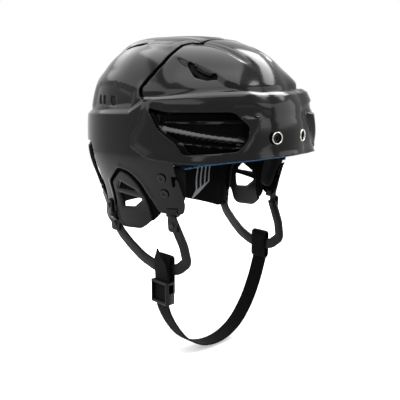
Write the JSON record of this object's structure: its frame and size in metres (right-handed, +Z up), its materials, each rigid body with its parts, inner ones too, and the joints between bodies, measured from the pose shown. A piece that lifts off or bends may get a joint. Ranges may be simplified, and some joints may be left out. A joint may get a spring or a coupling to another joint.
{
  "type": "ice hockey helmet",
  "caption": "Ice hockey helmet with an adjustable two-piece shell, side louvres, foam liner, ear guards and a chin harness with a ladder-lock buckle.",
  "frame": {"origin": "middle of the head opening, on the plane of the brow edge", "axes": "+Z up through the crown, -Y towards the brow, +X towards the wearer's left"},
  "size_m": [0.2008, 0.2624, 0.3291],
  "materials": {
    "shell": "smooth injection-moulded shell with a soft gloss",
    "louvre": "fine satin grain",
    "foam": "closed-cell foam, matt",
    "pad": "soft foam pad with a knitted face",
    "guard": "satin moulded plastic",
    "strap": "flexible moulded strap, satin",
    "clip": "smooth moulded clip",
    "webbing": "woven webbing",
    "buckle": "smooth moulded buckle",
    "black_metal": "black coated steel",
    "bright_metal": "bright turned rings",
    "steel": "plain steel"
  },
  "bodies": {
    "front": {"front_shell": "shell", "front_liner": "foam", "brow_pad": "pad", "vent_insert_right": "louvre", "vent_insert_left": "louvre", "visor_grommets": "bright_metal", "visor_nuts": "steel"},
    "rear": {"rear_shell": "shell", "rear_liner": "foam", "crown_pad": "pad", "nape_pad": "pad", "temple_pad_right": "pad", "temple_pad_left": "pad", "ear_guard_right": "guard", "ear_guard_left": "guard", "guard_screws": "black_metal", "guard_nuts": "steel", "front_clip_right": "clip", "front_clip_left": "clip", "rear_clip_right": "clip", "rear_clip_left": "clip", "harness_rivets": "black_metal", "side_strap_right": "strap", "side_strap_left": "strap", "nape_strap_right": "strap", "nape_strap_left": "strap", "nape_snaps": "black_metal"},
    "chin": {"chin_webbing": "webbing", "buckle_loop": "webbing", "buckle": "buckle"}
  },
  "joints": [
    {"name": "size_slide", "type": "slide", "parent": "front", "child": "rear", "axis": [0, 1, 0], "range_m": [0, 0.014]},
    {"name": "chin_swing", "type": "hinge", "parent": "rear", "child": "chin", "pos_m": [0, -0.031, -0.11537], "axis": [1, 0, 0], "range_deg": [-25, 25]}
  ]
}
